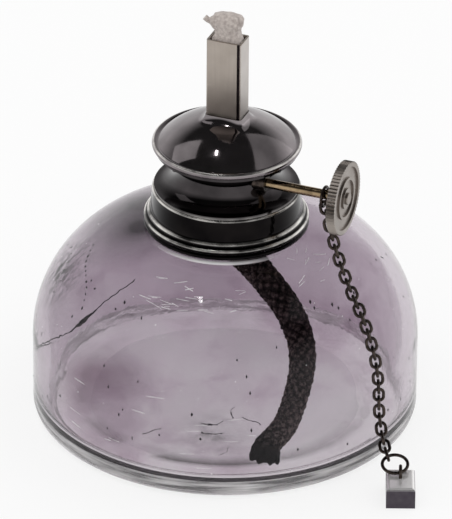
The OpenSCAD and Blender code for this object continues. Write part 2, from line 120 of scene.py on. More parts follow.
# Wobble of the outside, which starts at a radius and a height and is whole that much further on
RIPPLE_DEPTH = 0.06 * MM
RIPPLE_PATCH = 17 * MM
RIPPLE_SHIFT = 300 * MM
RIPPLE_OUT = (18 * MM, 8 * MM)
RIPPLE_UP = (1 * MM, 4 * MM)

# The glass's own tint, with its strength per metre, and how strongly it bends light and mirrors
GLASS_IOR = 1.5
GLASS_TINT = (0.77, 0.72, 0.775)
GLASS_DENSITY = 10
GLASS_GLOSS = (0.3, 0.3, 0.3, 1)

# Marks in the font, in mm: painted shade beside the neck, a painted shade ring on the floor, and a smudge
# and a cloud on the floor
SHADE_PLACE = (-19.5, -7, 46.7)
SHADE_REACH = 16
SHADE_RING_R = 36
SHADE_RING_PLACE = (6, -36, 4)
SHADE_RING_REACH = 66
SMUDGE_PLACE = (5.5, -22.4, 4)
SMUDGE_REACH = 12
CLOUD_PLACE = (-33, -8, 4)
CLOUD_REACH = 19
# Marks on the outside, in mm: painted shade by the collar, rubbed dirt, a bloom under the collar and a side
# painted lighter as if lit
SHADE_OUTSIDE = (-23, 2, 49.7)
SHADE_OUTSIDE_REACH = 20
RUB_PLACE = (-36.3, -18.5, 39.1)
RUB_REACH = 13
BLOOM_R = 20.3
BLOOM_PLACE = (4, -19.9, 50.5)
BLOOM_REACH = 19
LIT_SIDE_PLACE = (34, 8, 38)
LIT_SIDE_REACH = 42

# Flaws in the glass: angles in degrees, and heights, depths and ranges of size in mm
FLAW_CHANCE = 5
SCRATCH_CHANCE = 11
CRACK = [
    (-155, 16), (-139.3, 25.4), (-130.3, 31.1), (-127.2, 33.1), (-125, 35.5),
    (-123.5, 37.2), (-121, 40.3), (-119, 43), (-116.3, 45.2), (-114.3, 47.1),
]
CRACK_DEPTH = 0.7
# How far the crack strays, its least width, what noise adds, and the swell at a share of its length
CRACK_JAG = 0.4 * MM
CRACK_JAG_PATCH = 0.9 * MM
CRACK_WIDTH = 0.10 * MM
CRACK_VARIES = 0.22 * MM
CRACK_PATCH = 1.5 * MM
CRACK_SWELL = 0.5 * MM
CRACK_SWELL_STEPS = 5
CRACK_WIDEST = 0.66
SEED_ROW = [
    (-154.5, 46.4), (-145, 44.4), (-137.6, 43.2), (-132.1, 41.9), (-128.9, 40), (-126.9, 37.8),
]
SEED_ROW_DEPTH = 0.5
SEED_ROW_STEP = 0.9 * MM
STRAY_SEEDS = 60
STRAY_ANGLES = (-170, 30)
STRAY_HEIGHTS = (7, 45)
STRAY_DEPTH = 1.5
SEED_HALF = (0.25, 0.6)
SEED_R = (0.14, 0.34)
# Stretches of the wall with pale scratches, from and to, and how many there are
SCRATCHED = [
    ((-104, 44.5), (-60, 48.5), 26), ((-34, 46.5), (-6, 50.4), 12), ((-120, 8), (-60, 30), 14),
]
SCRATCH_TURN = (2, 6)
SCRATCH_SLOPE = (-0.12, 0.12)
SCRATCH_R = (0.035, 0.085)
BUBBLES = 70
BUBBLE_ANGLES = (-175, 35)
BUBBLE_HEIGHTS = (6, 48)
BUBBLE_R = (0.08, 0.16)
FLOOR_HAIRS = 7
HAIR_ANGLES = (-150, -30)
HAIR_AWAY = (10, 33)
HAIR_LIFT = 0.15 * MM
HAIR_POINTS = 5
HAIR_STEP = 1.3 * MM
HAIR_BEND = (-0.25, 0.25)
HAIR_R = (0.05, 0.10)
MARK_STEP = 0.5 * MM
MARK_SIDES = 6

# Burner: the collar's arcs are a centre and a radius, and its band is two ends
COLLAR_Z = 51.1 * MM
COLLAR_BORE_R = 14.5 * MM
COLLAR_ROLL = ((19.65 * MM, 51.75 * MM), 0.65 * MM)
LOWER_BEAD = ((19.45 * MM, 53.1 * MM), 0.85 * MM)
UPPER_BEAD = ((18.6 * MM, 54.5 * MM), 0.85 * MM)
BEAD_HOLLOW = ((18.95 * MM, 55.75 * MM), 0.3 * MM)
BAND = ((18.65 * MM, 55.8 * MM), (18.3 * MM, 60.1 * MM))
BAND_TOP = ((17.75 * MM, 60.55 * MM), 0.55 * MM)
ROOF_Z = 60.2 * MM
ROOF_HOLE_R = 11.2 * MM
SPOOL_Z = 61.1 * MM
SPOOL_FOOT_R = 17.8 * MM
SPOOL_TOP_R = 17.55 * MM
GROOVE_C = (17.15 * MM, 66.65 * MM)
GROOVE_R = 4.85 * MM
SHEET = 0.7 * MM
DOME_Z = 72.2 * MM
DOME_TOP = 80.4 * MM
RIM_C = (17.5 * MM, 73.1 * MM)
RIM_R = 0.85 * MM
RIM_LAP = 0.6 * MM
# The dome's top sweeps up to the tube, from a round foot to an edge that follows the tube
FLARE_R = 2.6 * MM
FLARE_FOOT_R = 7.3 * MM
FLARE_TOP_R = 5.5 * MM
FLARE_GAP = 0.3 * MM
FLARE_END = -172
FLARE_SQUARE = 8

WEAR_HIGHLIGHT = "worn"
# Edges rubbed bright, which also carry painted highlight lines, as radius and height: rim, band's top and
# two beads, and how far the wear and highlight fade
WEAR_HIGHLIGHT_EDGES = [
    (18.05 * MM, 73.75 * MM), (18.1 * MM, 60.95 * MM), (20.05 * MM, 53.7 * MM), (19.2 * MM, 55.1 * MM),
]
WEAR_HIGHLIGHT_FULL = 1.6
WEAR_HIGHLIGHT_FADE = 0.26 * MM

# Wick tube
TUBE_W = 9 * MM
TUBE_D = 6 * MM
TUBE_WALL = 0.5 * MM
TUBE_BEND = 0.55 * MM
TUBE_BOTTOM = 57.1 * MM
TUBE_TOP = 101.9 * MM
# The open seam at the front right corner: its radius, the slit's width and depth, and slack to find it
SEAM_BEND = 0.25 * MM
SEAM_SLIT = 0.75 * MM
SEAM_STEP = 0.36 * MM
SEAM_SLACK = 0.02 * MM

# Wick
WICK_W = 7.6 * MM
WICK_D = 4.6 * MM
WICK_BOTTOM = 56.1 * MM
WICK_RINGS = 24
WICK_SIDES = 40
WICK_ROUGH = 0.01
WICK_SQUARE = 0.45
WICK_PATCH = 1.6 * MM
# The tuft: share of its height, width and depth against the wick's, and roughness
TUFT_TOP = 108.7 * MM
TUFT = [
    (0.00, 0.96, 0.96, 0.04), (0.14, 0.84, 0.88, 0.16), (0.28, 0.80, 0.86, 0.26),
    (0.42, 0.86, 0.92, 0.34), (0.55, 0.96, 1.00, 0.40), (0.68, 1.00, 1.04, 0.42),
    (0.80, 0.94, 0.96, 0.44), (0.90, 0.74, 0.78, 0.44), (0.97, 0.40, 0.45, 0.40),
]
# The loose strand at its left, in mm from the tube's top
CURL = [(-2.2, -0.4, 3.7), (-3.6, -0.5, 3.9), (-4.9, -0.7, 4.3), (-5.7, -0.8, 4.9)]
CURL_R = 0.75 * MM
CURL_STEP = 0.4 * MM
CURL_SIDES = 10

# Tail
TAIL_R = 3.6 * MM
TAIL_TOP = 55.9 * MM
TAIL_STEP = 0.6 * MM
# Its way down, in shares of the font's inside radius and of the height above its floor
TAIL_SHARES = [
    (0, 0, 1), (0, 0, 0.93), (0.015, 0, 0.86), (0.06, 0, 0.78),
    (0.14, 0, 0.71), (0.26, -0.04, 0.64), (0.4, -0.11, 0.56), (0.52, -0.21, 0.46),
    (0.58, -0.33, 0.37), (0.59, -0.45, 0.27), (0.57, -0.57, 0.17), (0.51, -0.67, 0.1),
    (0.5, -0.7, 0.035),
]
# How thick the tail is, and how dry, by share of its length
TAIL_SLIM = [(0, 1), (0.5, 1), (0.85, 0.82), (0.93, 0.86), (1, 1.15)]
TAIL_DRY = [(0.92, 1), (0.98, 0.1)]
# The braid: strands each way and their section, a turn's length, their middles' radius, weave and core
STRANDS = 8
STRAND_R = 0.85 * MM
STRAND_FLAT = 0.5
STRAND_SIDES = 8
LAY = 24 * MM
BRAID_R = TAIL_R - 0.75 * MM
WEAVE = 0.28 * MM
CORE_R = BRAID_R - 0.15 * MM
CORE_SIDES = 16
# Where on the braid its painted light starts, by share of the tail's radius: hollows are painted as shade
# and crests as lit
RIDGE_SHADE = "ridge"
RIDGE_SHADE_FROM = 0.7

# Raiser shaft
SHAFT_CUT = 0.2 * MM
SHAFT_SIDES = 48


# Meshes

def clamp(value):
    """A value kept between 0 and 1."""
    return min(1, max(0, value))


def arc(centre, radius, start, end, steps):
    """Points on an arc in the (r, z) plane, with angles in degrees from outwards towards up."""
    angles = [math.radians(start + (end - start) * k / steps) for k in range(steps + 1)]
    return [(centre[0] + radius * math.cos(a), centre[1] + radius * math.sin(a)) for a in angles]


def line(start, end, steps):
    """Points along a straight stretch, without its first one."""
    return [
        (start[0] + (end[0] - start[0]) * k / steps, start[1] + (end[1] - start[1]) * k / steps)
        for k in range(1, steps + 1)
    ]


def mesh_object(name, points, faces, sharp_angle=SHARP_ANGLE):
    """A new object with a smooth-shaded mesh, sharp at steeper edges, with its normals outwards."""
    mesh = bpy.data.meshes.new(name)
    mesh.from_pydata([tuple(p) for p in points], [], faces)
    work = bmesh.new()
    work.from_mesh(mesh)
    bmesh.ops.recalc_face_normals(work, faces=work.faces)
    work.to_mesh(mesh)
    work.free()
    mesh.polygons.foreach_set("use_smooth", [True] * len(mesh.polygons))
    mesh.set_sharp_from_angle(angle=math.radians(sharp_angle))
    mesh.update()
    thing = bpy.data.objects.new(name, mesh)
    bpy.context.scene.collection.objects.link(thing)
    return thing


def lathe(outline, shape):
    """Turns a closed outline of (r, z) points about Z, where shape may move each of them.

    A point on the axis becomes one pole. Returns points, faces and each face's row of the outline.
    """
    points, faces, rings, stretch = [], [], [], []
    for r, z in outline:
        if r < TINY:
            rings.append([len(points)])
            points.append((0, 0, z))
            continue
        rings.append(list(range(len(points), len(points) + SEGMENTS)))
        for k in range(SEGMENTS):
            turn = math.tau * k / SEGMENTS
            here = shape(r, z, turn) if shape else (r, z)
            points.append((here[0] * math.cos(turn), here[0] * math.sin(turn), here[1]))
    for i, lower in enumerate(rings):
        upper = rings[(i + 1) % len(rings)]
        if len(lower) == 1 and len(upper) == 1:
            continue
        for k in range(SEGMENTS):
            n = (k + 1) % SEGMENTS
            if len(lower) == 1:
                faces.append((lower[0], upper[k], upper[n]))
            elif len(upper) == 1:
                faces.append((lower[k], upper[0], lower[n]))
            else:
                faces.append((lower[k], upper[k], upper[n], lower[n]))
            stretch.append(i)
    return points, faces, stretch


def loft(rings, closed_ends=True):
    """Points and faces of a skin over rings of equally many points."""
    sides = len(rings[0])
    points = [p for ring in rings for p in ring]
    faces = []
    for i in range(len(rings) - 1):
        for k in range(sides):
            n = (k + 1) % sides
            a, b = i * sides, (i + 1) * sides
            faces.append((a + k, a + n, b + n, b + k))
    if closed_ends:
        faces.append(tuple(range(sides - 1, -1, -1)))
        faces.append(tuple(range(len(points) - sides, len(points))))
    return points, faces


def joined(parts):
    """One list of points and faces from several."""
    points, faces = [], []
    for part_points, part_faces in parts:
        start = len(points)
        points.extend(part_points)
        faces.extend(tuple(i + start for i in face) for face in part_faces)
    return points, faces


def smooth_route(route, step):
    """Points about a step apart on a Catmull-Rom curve through a route."""
    route = [Vector(p) for p in route]
    ends = [2 * route[0] - route[1]] + route + [2 * route[-1] - route[-2]]
    found = []
    for a, b, c, d in zip(ends, ends[1:], ends[2:], ends[3:]):
        count = max(2, round((c - b).length / step))
        for k in range(count):
            t = k / count
            found.append(
                0.5 * (2 * b + (c - a) * t + (2 * a - 5 * b + 4 * c - d) * t * t
                       + (3 * b - 3 * c + d - a) * t * t * t)
            )
    found.append(route[-1])
    return found


def frames_along(path):
    """For each point of a path, two directions across it that never twist."""
    ways = []
    for k in range(len(path)):
        ways.append((path[min(k + 1, len(path) - 1)] - path[max(k - 1, 0)]).normalized())
    side = ways[0].orthogonal().normalized()
    found = []
    for way in ways:
        side = (side - way * side.dot(way)).normalized()
        found.append((side, way.cross(side)))
    return found


def tube(path, radius, sides, flat=1.0, facing=None):
    """A closed tube along a path. flat thins it in the facing direction, which is given per point."""
    radii = radius if hasattr(radius, "__len__") else [radius] * len(path)
    crosses = frames_along(path)
    rings = []
    for k, point in enumerate(path):
        side, up = crosses[k]
        if facing is not None:
            way = side.cross(up)
            up = (facing[k] - way * facing[k].dot(way)).normalized()
            side = up.cross(way)
        ring = []
        for i in range(sides):
            turn = math.tau * i / sides
            ring.append(point + radii[k] * (math.cos(turn) * side + flat * math.sin(turn) * up))
        rings.append(ring)
    return loft(rings)


# Materials

class Paint:
    """A Principled material, with short ways to add nodes that work in the lamp's own frame."""

    def __init__(self, name, **values):
        self.material = bpy.data.materials.new(name)
        self.material.use_nodes = True
        self.tree = self.material.node_tree
        self.shader = self.tree.nodes["Principled BSDF"]
        for key, value in values.items():
            self.shader.inputs[key.replace("_", " ")].default_value = value

    def node(self, kind, **values):
        made = self.tree.nodes.new(kind)
        for key, value in values.items():
            setattr(made, key, value)
        return made

    def link(self, source, target):
        self.tree.links.new(source, target)

    def coords(self, stretch):
        """Places in millimetres in the lamp's frame, stretched along each axis."""
        place = self.node("ShaderNodeTexCoord")
        scale = self.node("ShaderNodeMapping")
        scale.inputs["Scale"].default_value = [s / MM for s in stretch]
        self.link(place.outputs["Object"], scale.inputs["Vector"])
        return scale.outputs["Vector"]

    def noise(self, size, detail, stretch=(1, 1, 1), distortion=0.0):
        """Noise with patches of about that many millimetres."""
        made = self.node("ShaderNodeTexNoise")
        made.inputs["Scale"].default_value = 1 / size
        made.inputs["Detail"].default_value = detail
        made.inputs["Distortion"].default_value = distortion
        self.link(self.coords(stretch), made.inputs["Vector"])
        return made.outputs["Fac"]

    def ramp(self, value, *stops):
        """Colours or greys at places from 0 to 1."""
        made = self.node("ShaderNodeValToRGB")
        band = made.color_ramp
        while len(band.elements) < len(stops):
            band.elements.new(0.5)
        for element, (place, colour) in zip(band.elements, stops):
            element.position = place
            grey = (colour,) * 3 if isinstance(colour, (int, float)) else colour
            element.color = (*grey, 1)
        self.link(value, made.inputs["Fac"])
        return made.outputs["Color"]

    def patches(self, size, detail, *stops):
        """Noise with patches of about that many millimetres, as colours or greys."""
        return self.ramp(self.noise(size, detail), *stops)

    def attribute(self, name):
        """A value that is stored at the mesh's points."""
        return self.node("ShaderNodeAttribute", attribute_name=name).outputs["Fac"]

    def facing(self, axis):
        """How far the surface faces along an axis."""
        place = self.node("ShaderNodeTexCoord")
        split = self.node("ShaderNodeSeparateXYZ")
        self.link(place.outputs["Normal"], split.inputs["Vector"])
        return split.outputs[axis]

    def maths(self, operation, first, second):
        made = self.node("ShaderNodeMath", operation=operation)
        for socket, value in zip(made.inputs, (first, second)):
            if isinstance(value, (int, float)):
                socket.default_value = value
            else:
                self.link(value, socket)
        return made.outputs["Value"]

    def mix(self, share, first, second, blend="MIX"):
        """Mixes two colours by a share, each a colour or a socket."""
        made = self.node("ShaderNodeMix", data_type="RGBA", blend_type=blend)
        for key, value in (("Factor_Float", share), ("A_Color", first), ("B_Color", second)):
            socket = next(s for s in made.inputs if s.identifier == key)
            if isinstance(value, bpy.types.NodeSocket):
                self.link(value, socket)
            else:
                socket.default_value = value if isinstance(value, float) else (*value, 1)
        return next(s for s in made.outputs if s.identifier == "Result_Color")

    def bump(self, height, depth, strength):
        """A bump of about that many millimetres."""
        made = self.node("ShaderNodeBump")
        made.inputs["Strength"].default_value = strength
        made.inputs["Distance"].default_value = depth * MM
        self.link(height, made.inputs["Height"])
        self.link(made.outputs["Normal"], self.shader.inputs["Normal"])

    def away(self, place, stretch=(1, 1, 1)):
        """Distance from a place, in millimetres."""
        made = self.node("ShaderNodeVectorMath", operation="DISTANCE")
        self.link(self.coords(stretch), made.inputs[0])
        made.inputs[1].default_value = place
        return made.outputs["Value"]

    def near(self, place, reach):
        """1 at a place in millimetres, falling to 0 at that reach."""
        return self.ramp(self.maths("DIVIDE", self.away(place), reach), (0.15, 1.0), (1.0, 0.0))

    def from_axis(self, radius):
        """Distance from the lamp's axis, which is 0.5 at a radius in millimetres."""
        return self.maths("DIVIDE", self.away((0, 0, 0), (1, 1, 0)), 2 * radius)

    def absorb(self, colour, density):
        """Tints light by the length of its way through the body."""
        body = self.node("ShaderNodeVolumeAbsorption")
        body.inputs["Color"].default_value = (*colour, 1)
        body.inputs["Density"].default_value = density
        self.link(body.outputs["Volume"], self.tree.nodes["Material Output"].inputs["Volume"])

    def drive(self, key, value):
        self.link(value, self.shader.inputs[key])


def glass_paint(name, roughness=0.0):
    """Clear glass that tints what is seen through it."""
    paint = Paint(
        name, Roughness=roughness, IOR=GLASS_IOR, Transmission_Weight=1.0, Specular_Tint=GLASS_GLOSS
    )
    paint.absorb(GLASS_TINT, GLASS_DENSITY)
    return paint


def clear_glass():
    """The outer skin: faintly rippled, painted lighter at the right as if lit, with painted shade by the
    collar, rubbed dirt and a pale bloom.
    """
    paint = glass_paint("clear_glass")
    tint = paint.patches(26, 3, (0.3, (0.37, 0.315, 0.36)), (0.7, (0.50, 0.435, 0.49)))
    # The right side is painted paler, as if more light came through there
    lit_side = paint.mix(paint.near(LIT_SIDE_PLACE, LIT_SIDE_REACH), tint, (0.60, 0.54, 0.59))
    # By the collar the glass is painted dark, as shade from the burner
    collar_shade = paint.near(SHADE_OUTSIDE, SHADE_OUTSIDE_REACH)
    shaded = paint.mix(collar_shade, lit_side, (0.035, 0.031, 0.034))
    scrubs = paint.ramp(paint.noise(1.6, 4, (1, 1, 0.35)), (0.42, 0.0), (0.56, 1.0))
    rubbed = paint.maths("MULTIPLY", paint.near(RUB_PLACE, RUB_REACH), scrubs)
    shaded_and_dirty = paint.mix(rubbed, shaded, (0.01, 0.01, 0.01))
    ring = paint.ramp(paint.from_axis(BLOOM_R), (0.475, 0.0), (0.485, 1.0), (0.510, 1.0), (0.520, 0.0))
    bloom = paint.maths("MULTIPLY", ring, paint.near(BLOOM_PLACE, BLOOM_REACH))
    paint.drive("Base Color", paint.mix(bloom, shaded_and_dirty, (0.97, 0.96, 0.96)))
    paint.drive("Transmission Weight", paint.ramp(bloom, (0.0, 1.0), (0.6, 0.1)))
    paint.bump(paint.noise(5, 4, (1, 1, 0.6)), depth=0.25, strength=0.08)
    return paint.material


def patchy_glass(name, roughness, size, detail, dark, light):
    """Glass with a tint that varies in patches of that many millimetres."""
    paint = glass_paint(name, roughness)
    paint.drive("Base Color", paint.patches(size, detail, (0.3, dark), (0.7, light)))
    return paint


def heel_shade_glass():
    """The turn between wall and floor, painted dark in a thin line as shade."""
    return patchy_glass("heel_shade_glass", 0.1, 6, 3, (0.05, 0.043, 0.046), (0.18, 0.15, 0.165)).material


def ground_glass():
    """The underside, ground flat and scuffed."""
    paint = patchy_glass("ground_glass", 0.3, 11, 4, (0.92, 0.90, 0.92), (1.0, 1.0, 1.0))
    paint.bump(paint.noise(0.8, 3), depth=0.05, strength=0.4)
    return paint.material


def foot_glass():
    """The ring that the font stands on, fire polished."""
    paint = patchy_glass("foot_glass", 0.04, 7, 4, (0.94, 0.93, 0.93), (1.0, 1.0, 1.0))
    paint.bump(paint.noise(4, 3), depth=0.2, strength=0.2)
    return paint.material


def scuffed_glass():
    """The outside of the foot, rubbed dull in streaks by the bench."""
    paint = patchy_glass("scuffed_glass", 0.25, 6, 4, (0.80, 0.77, 0.78), (0.97, 0.95, 0.96))
    streaks = paint.noise(0.9, 3, (0.06, 0.06, 1))
    paint.drive("Transmission Weight", paint.ramp(streaks, (0.36, 0.35), (0.62, 0.86)))
    paint.bump(paint.noise(0.6, 3), depth=0.03, strength=0.3)
    return paint.material


def inner_tint(paint, patch, deepest):
    """Clouds of lavender, as colours of a skin."""
    cloud = paint.noise(patch, 4, (1, 1, 0.8), 0.6)
    return paint.ramp(cloud, (0.34, deepest), (0.47, (0.97, 0.93, 0.96)), (0.60, (1.0, 1.0, 1.0)))


def floor_glass():
    """The inner floor, with a painted shade ring, and the smudge and the cloud that dried fuel has left."""
    paint = glass_paint("floor_glass")
    # The ring near the heel is painted shade, a dark line where the floor turns up, strongest towards -y;
    # the smudge is mixed in with it
    ring = paint.ramp(paint.from_axis(SHADE_RING_R), (0.44, 0.0), (0.50, 1.0), (0.53, 0.0))
    broken_shade_ring = paint.patches(15, 3, (0.36, 0.1), (0.52, 1.0))
    broken_shade_ring = paint.maths("MULTIPLY", broken_shade_ring, paint.near(SHADE_RING_PLACE, SHADE_RING_REACH))
    smeared = paint.patches(4, 5, (0.35, 0.05), (0.65, 0.7))
    smudge = paint.maths("MULTIPLY", paint.near(SMUDGE_PLACE, SMUDGE_REACH), smeared)
    shade_and_dirt = paint.maths("MAXIMUM", paint.maths("MULTIPLY", ring, broken_shade_ring), smudge)
    tint = inner_tint(paint, 18, (0.74, 0.65, 0.72))
    clouded = paint.mix(paint.near(CLOUD_PLACE, CLOUD_REACH), tint, (0.26, 0.18, 0.23))
    paint.drive("Base Color", paint.mix(shade_and_dirt, clouded, (0.055, 0.052, 0.05)))
    return paint.material


def lavender_glass():
    """The inner skin, in lavender clouds, with painted shade beside the neck."""
    paint = glass_paint("lavender_glass")
    tint = inner_tint(paint, 24, (0.64, 0.54, 0.62))
    # Near the neck the tint is painted dark, as shade from the burner
    paint.drive("Base Color", paint.mix(paint.near(SHADE_PLACE, SHADE_REACH), tint, (0.015, 0.013, 0.015)))
    paint.bump(paint.noise(7, 5), depth=0.5, strength=0.12)
    return paint.material


def black_nickel(name, dark, light):
    """Dark polished plating with faint smudges, turning lines and edges that are rubbed bright, which also
    serve as painted highlights.
    """
    paint = Paint(name, Metallic=1.0)
    tone = paint.patches(9, 4, (0.35, dark), (0.7, light))
    uneven = paint.patches(8, 3, (0.38, 0.15), (0.6, 1.0))
    # The rubbed edges are wear and painted highlight lines at once
    rubbed = paint.maths("MULTIPLY", paint.attribute(WEAR_HIGHLIGHT), uneven)
    paint.drive("Base Color", paint.mix(rubbed, tone, (0.94, 0.91, 0.87)))
    polish = paint.patches(3, 5, (0.3, 0.05), (0.75, 0.13))
    paint.drive("Roughness", paint.mix(rubbed, polish, (0.45, 0.45, 0.45)))
    paint.bump(paint.noise(0.5, 2, (0.05, 0.05, 1)), depth=0.01, strength=0.15)
    return paint.material


def satin_nickel(name, light, dark, stretch, rough, side=None):
    """Worn warm-grey plating, brushed along its stretch, with the side that faces +X painted lighter as if
    lit.
    """
    paint = Paint(name, Metallic=1.0)
    tone = paint.mix(paint.noise(0.5, 3, stretch), dark, light)
    tone = paint.mix(paint.noise(7, 4), tone, dark)
    # The side that faces +X is painted lighter, as if lit
    if side:
        tone = paint.mix(paint.ramp(paint.facing("X"), (0.6, 0.0), (0.9, 0.8)), tone, side)
    paint.drive("Base Color", tone)
    paint.drive("Roughness", paint.patches(4, 4, (0.3, rough[0]), (0.7, rough[1])))
    paint.bump(paint.noise(0.35, 2, stretch), depth=0.02, strength=0.5)
    return paint.material


def worn_metal(name, light, dark, rough, patch=2.0):
    """Plain metal with patchy colour and gloss."""
    paint = Paint(name, Metallic=1.0)
    paint.drive("Base Color", paint.patches(patch, 4, (0.35, dark), (0.7, light)))
    paint.drive("Roughness", paint.patches(patch / 2, 4, (0.3, rough[0]), (0.7, rough[1])))
    paint.bump(paint.noise(patch / 5, 3), depth=0.02, strength=0.3)
    return paint.material


def pale_cotton():
    """Fibrous cotton, in patches of two tones."""
    paint = Paint("pale_cotton", Roughness=0.95, Sheen_Weight=0.3)
    tone = paint.patches(0.9, 5, (0.32, (0.38, 0.325, 0.30)), (0.68, (0.62, 0.555, 0.515)))
    paint.drive("Base Color", tone)
    paint.bump(paint.noise(0.3, 4), depth=0.25, strength=0.8)
    return paint.material


def braided_cotton():
    """Soaked cotton, with painted shade in the hollows of its braid and brown painted lighter on the
    ridges, as if lit.
    """
    paint = Paint("dark_cotton", Roughness=0.95)
    fibres = paint.patches(0.7, 5, (0.3, 0.35), (0.7, 1.0))
    height = paint.maths("MULTIPLY", paint.attribute(RIDGE_SHADE), fibres)
    # Hollows are painted dark as shade and crests light as if lit
    painted_hollow_shade, flank, painted_crest_light = (0.005, 0.004, 0.004), (0.085, 0.069, 0.06), (0.44, 0.37, 0.325)
    paint.drive("Base Color", paint.ramp(height, (0.2, painted_hollow_shade), (0.5, flank), (0.8, painted_crest_light)))
    paint.bump(paint.noise(0.3, 4), depth=0.25, strength=0.8)
    return paint.material


def top_lit_nickel():
    """Plating painted bright on top as if lit, and painted dark on the upright faces as shade."""
    paint = Paint("bright_nickel")
    up = paint.facing("Z")
    # The top is painted light and the upright faces dark, as light and shade
    tone = paint.ramp(up, (0.35, (0.045, 0.036, 0.05)), (0.75, (0.90, 0.88, 0.88)))
    paint.drive("Metallic", paint.ramp(up, (0.35, 1.0), (0.75, 0.65)))
    paint.drive("Base Color", paint.mix(paint.noise(1.5, 4), tone, (0.10, 0.09, 0.10), "LIGHTEN"))
    paint.drive("Roughness", paint.patches(1, 4, (0.3, 0.10), (0.7, 0.22)))
    return paint.material


def flaw_line():
    """The dark line of a crack or a seed in the glass."""
    paint = Paint("flaw_line", Roughness=0.6)
    paint.drive("Base Color", paint.patches(1.5, 3, (0.35, (0.01, 0.01, 0.01)), (0.7, (0.09, 0.08, 0.09))))
    return paint.material


def pale_scratch():
    """Bruised glass in a scratch or a tiny bubble."""
    paint = Paint("pale_scratch", Roughness=0.5)
    paint.drive("Base Color", paint.patches(1.5, 3, (0.35, (0.62, 0.60, 0.62)), (0.7, (0.95, 0.95, 0.95))))
    return paint.material


def pressed_fibre():
    """The brown board of a gasket."""
    paint = Paint("pressed_fibre", Roughness=0.8)
    paint.drive("Base Color", paint.patches(1, 4, (0.3, (0.2, 0.13, 0.08)), (0.7, (0.4, 0.29, 0.19))))
    paint.bump(paint.noise(0.4, 3), depth=0.1, strength=0.5)
    return paint.material


# Glass font

def thread_height(z, turn):
    """How far the neck's thread stands out at a height and an angle."""
    middle = (BODY_H + LIP_Z) / 2
    best = 0.0
    for lap in (-1, 0, 1):
        whole = math.degrees(turn) - 180 + 360 * lap
        reach = THREAD_TURNS * 180 - abs(whole)
        if reach < 0:
            continue
        off = abs(z - middle - whole / 360 * THREAD_PITCH)
        ridge = clamp(2 * (1 - off / THREAD_HALF))
        best = max(best, THREAD_DEPTH * ridge * min(1, reach / THREAD_RUNOUT))
    return best


def glass_outside():
    """Outline of the outside, from the middle of the base to the lip."""
    outline = [(0, 0)]
    outline += line((0, 0), (BODY_R - FOOT_R, 0), BASE_STEPS)
    outline += arc((BODY_R - FOOT_R, FOOT_R), FOOT_R, -90, 0, 10)[1:]
    outline += line((BODY_R, FOOT_R), (BODY_R, FOOT_TOP), 8)
    outline += line((BODY_R, FOOT_TOP), (BODY_R, SHOULDER_C[1]), 10)
    outline += arc(SHOULDER_C, SHOULDER_R, 0, 90, 40)[1:]
    outline += line((SHOULDER_C[0], BODY_H), (NECK_R, BODY_H), 2)
    outline += line((NECK_R, BODY_H), (NECK_R, LIP_Z - LIP_R), 40)
    outline += arc((NECK_R - LIP_R, LIP_Z - LIP_R), LIP_R, 0, 90, 5)[1:]
    return outline


def glass_inside():
    """Outline of the hollow, from the lip to the middle of the floor."""
    wall_r = BODY_R - GLASS_WALL
    roof_z = BODY_H - GLASS_WALL
    outline = [(NECK_BORE_R, LIP_Z)]
    outline += line((NECK_BORE_R, LIP_Z), (NECK_BORE_R, roof_z), 6)
    outline += line((NECK_BORE_R, roof_z), (SHOULDER_C[0], roof_z), 3)
    outline += arc(SHOULDER_C, SHOULDER_R - GLASS_WALL, 90, 0, 36)[1:]
    outline += line((wall_r, SHOULDER_C[1]), (wall_r, GLASS_FLOOR + HEEL_R), 8)
    outline += arc((wall_r - HEEL_R, GLASS_FLOOR + HEEL_R), HEEL_R, 0, -90, 10)[1:]
    outline += line((wall_r - HEEL_R, GLASS_FLOOR), (0, GLASS_FLOOR), 14)
    return outline


def glass_ripple(r, z, turn):
    """A small in-and-out wobble of hand-made glass, none at the neck or the base."""
    place = Vector((r * math.cos(turn), r * math.sin(turn), z + RIPPLE_SHIFT)) / RIPPLE_PATCH
    fade = clamp((r - RIPPLE_OUT[0]) / RIPPLE_OUT[1]) * clamp((z - RIPPLE_UP[0]) / RIPPLE_UP[1])
    return RIPPLE_DEPTH * fade * noise.noise(place)


def make_font():
    """The hollow font, with a skin for each way that its glass is worn."""
    outside, inside = glass_outside(), glass_inside()
    rows = outside + inside

    def shape(r, z, turn):
        if r >= NECK_R - TINY and z > BODY_H + TINY:
            return r + thread_height(z, turn), z
        rib = 0
        if r > BODY_R - FOOT_R and z < FOOT_TOP:
            rib = FOOT_RIB * math.sin(math.pi * z / FOOT_TOP) * math.cos(math.tau * z / FOOT_RIB_PITCH)
        return r - abs(rib) + glass_ripple(r, z, turn), z

    points, faces, stretch = lathe(rows, shape)
    font = mesh_object("glass_font_clear", points, faces)
    skins = {
        "clear": clear_glass(),
        "inner": lavender_glass(),
        "ground": ground_glass(),
        "foot": foot_glass(),
        "heel_shade": heel_shade_glass(),
        "floor": floor_glass(),
        "scuffed": scuffed_glass(),
    }
    for material in skins.values():
        font.data.materials.append(material)
    order = list(skins)
    numbers = []
    for polygon, i in zip(font.data.polygons, stretch):
        z = rows[i][1]
        if i < BASE_STEPS:
            skin = "ground" if i < BASE_STEPS - FOOT_STEPS else "foot"
        elif i < len(outside):
            skin = "scuffed" if z < FOOT_TOP - TINY else "clear"
        elif z <= HEEL_SHADE_LINE[0]:
            skin = "floor"
        # On the side below the limit, the inner corner gets the thin painted shade line
        elif z < HEEL_SHADE_LINE[1] and polygon.center.y < HEEL_SHADE_SIDE:
            skin = "heel_shade"
        else:
            skin = "inner"
        numbers.append(order.index(skin))
    font.data.polygons.foreach_set("material_index", numbers)
    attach(font, "font")
    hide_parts("glass_font")


